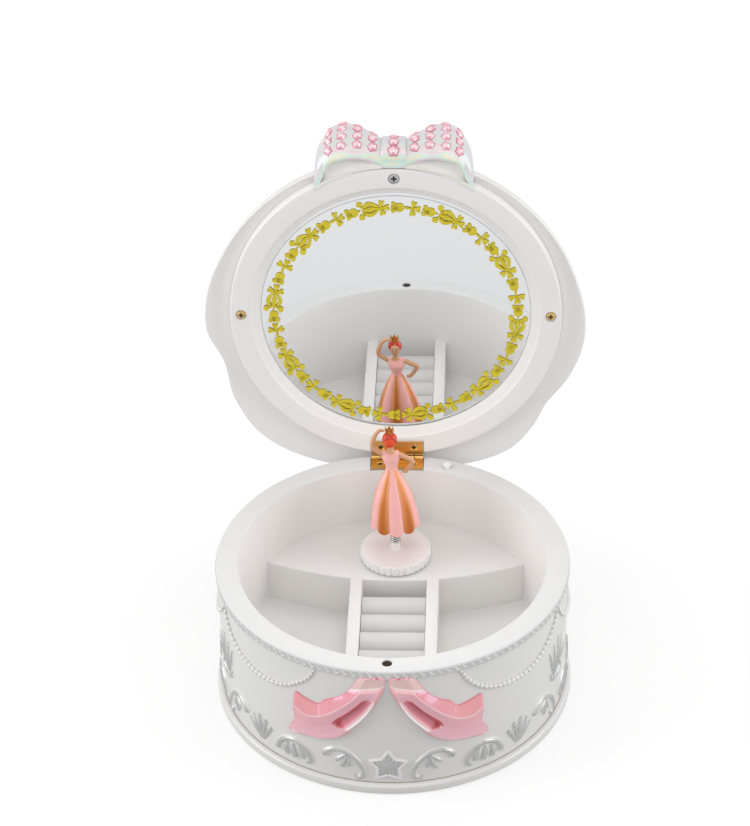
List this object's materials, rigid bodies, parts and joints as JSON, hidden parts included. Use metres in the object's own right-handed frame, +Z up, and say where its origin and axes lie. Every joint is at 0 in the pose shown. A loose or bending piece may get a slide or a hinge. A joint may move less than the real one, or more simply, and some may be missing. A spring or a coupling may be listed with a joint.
{
  "type": "wind up music box",
  "caption": "Round white jewel box with a hinged mirror lid and bow, a dancer on a turntable, a ring holder and a wind up musical movement.",
  "frame": {"origin": "middle of the flat underside the box stands on, on the axis of the round case", "axes": "+Z up, -Y to the front where the ribbon tails are, the lid's hinge at +Y"},
  "size_m": [0.1659, 0.1821, 0.2213],
  "materials": {
    "shell_white": "warm white moulded plastic, glossy",
    "roll_white": "white moulded plastic, satin",
    "ribbon_pink": "pearlescent pink lacquer",
    "bow_pearl": "iridescent pearl white lacquer",
    "mirror_glass": "silvered glass",
    "backing_card": "pressed card",
    "hinge_brass": "stamped brass",
    "screw_steel": "zinc plated steel",
    "magnet_dark": "bare ferrite",
    "movement_zinc": "cast zinc",
    "movement_brass": "cut brass",
    "movement_steel": "spring steel",
    "spring_chrome": "bright chrome",
    "skirt_pink": "painted figure, pink and copper",
    "figure_paint": "painted figure",
    "key_metal": "nickel plated steel"
  },
  "bodies": {
    "case": {"outer_shell": "shell_white", "base_plate": "shell_white", "base_screws": "screw_steel", "movement_screws": "screw_steel", "tray": "shell_white", "ring_rolls": "roll_white", "ribbon_tail_left": "ribbon_pink", "ribbon_tail_right": "ribbon_pink", "catch_magnet": "magnet_dark", "hinge_lower_leaf": "hinge_brass", "hinge_pin": "hinge_brass", "hinge_lower_screws": "hinge_brass", "movement_bedplate": "movement_zinc", "comb": "movement_steel", "comb_screws": "screw_steel", "governor_bracket": "movement_brass", "click_spring": "movement_steel", "plunger_spring": "movement_steel"},
    "lid": {"lid_shell": "shell_white", "mirror_frame": "shell_white", "mirror": "mirror_glass", "mirror_backing": "backing_card", "bow_loop_left": "bow_pearl", "bow_loop_right": "bow_pearl", "bow_knot": "bow_pearl", "lid_screws": "hinge_brass", "catch_screw": "screw_steel", "hinge_upper_leaf": "hinge_brass", "hinge_upper_screws": "hinge_brass"},
    "turntable": {"turntable_disc": "shell_white", "turntable_shaft": "movement_steel", "turntable_gear": "movement_brass", "spring_lower": "spring_chrome"},
    "dancer_link": {"spring_upper": "spring_chrome"},
    "dancer": {"dancer_skirt": "skirt_pink", "dancer_figure": "figure_paint", "dancer_pin": "spring_chrome"},
    "plunger": {"stop_plunger": "shell_white", "stop_wire": "movement_steel"},
    "winder": {"winding_key": "key_metal", "winding_arbor": "movement_steel", "ratchet_wheel": "movement_steel"},
    "barrel": {"spring_barrel": "movement_brass", "barrel_cover": "movement_brass", "mainspring": "movement_steel"},
    "tune_cylinder": {"cylinder": "movement_brass", "cylinder_pins": "movement_steel", "cylinder_arbor": "movement_steel", "cylinder_pinion": "movement_brass", "cylinder_gear": "movement_brass"},
    "governor": {"governor_arbor": "movement_steel", "governor_pinion": "movement_brass", "governor_wheel": "movement_brass"},
    "fly": {"fly_worm": "movement_steel", "fly_vane": "movement_brass"}
  },
  "joints": [
    {"name": "lid_hinge", "type": "hinge", "parent": "case", "child": "lid", "pos_m": [0, 0.073, 0.0645], "axis": [1, 0, 0], "range_deg": [0, 92]},
    {"name": "turntable_spin", "type": "hinge", "parent": "case", "child": "turntable", "pos_m": [0, 0.038, 0.0366], "axis": [0, 0, 1], "continuous": true},
    {"name": "dancer_fold", "type": "hinge", "parent": "case", "child": "dancer_link", "pos_m": [0, 0.038, 0.0525], "axis": [1, 0, 0], "range_deg": [0, 85]},
    {"name": "dancer_spin", "type": "hinge", "parent": "dancer_link", "child": "dancer", "pos_m": [0, 0.038, 0.0525], "axis": [0, 0, 1], "continuous": true},
    {"name": "plunger_slide", "type": "slide", "parent": "case", "child": "plunger", "axis": [0, 0, -1], "range_m": [0, 0.0015], "deforming": ["plunger_spring"]},
    {"name": "key_wind", "type": "hinge", "parent": "case", "child": "winder", "pos_m": [-0.016, 0.04647, 0.006], "axis": [0, 0, 1], "range_deg": [0, 1800]},
    {"name": "barrel_spin", "type": "hinge", "parent": "case", "child": "barrel", "pos_m": [-0.016, 0.04647, 0.02], "axis": [0, 0, 1], "continuous": true},
    {"name": "cylinder_spin", "type": "hinge", "parent": "case", "child": "tune_cylinder", "pos_m": [0.009, 0.04647, 0.0266], "axis": [1, 0, 0], "continuous": true},
    {"name": "governor_spin", "type": "hinge", "parent": "case", "child": "governor", "pos_m": [0.022, 0.03737, 0.0266], "axis": [1, 0, 0], "continuous": true},
    {"name": "fly_spin", "type": "hinge", "parent": "case", "child": "fly", "pos_m": [0.02475, 0.03007, 0.022], "axis": [0, 0, 1], "continuous": true}
  ],
  "couplings": [
    {"joint": "dancer_fold", "follows": "lid_hinge", "ratio": 0.92391},
    {"joint": "plunger_slide", "follows": "lid_hinge", "m_per_rad": 0.00093324},
    {"joint": "dancer_spin", "follows": "turntable_spin", "ratio": 1},
    {"joint": "barrel_spin", "follows": "turntable_spin", "ratio": -0.5},
    {"joint": "cylinder_spin", "follows": "turntable_spin", "ratio": -1.5},
    {"joint": "governor_spin", "follows": "turntable_spin", "ratio": 3},
    {"joint": "fly_spin", "follows": "turntable_spin", "ratio": 60}
  ]
}
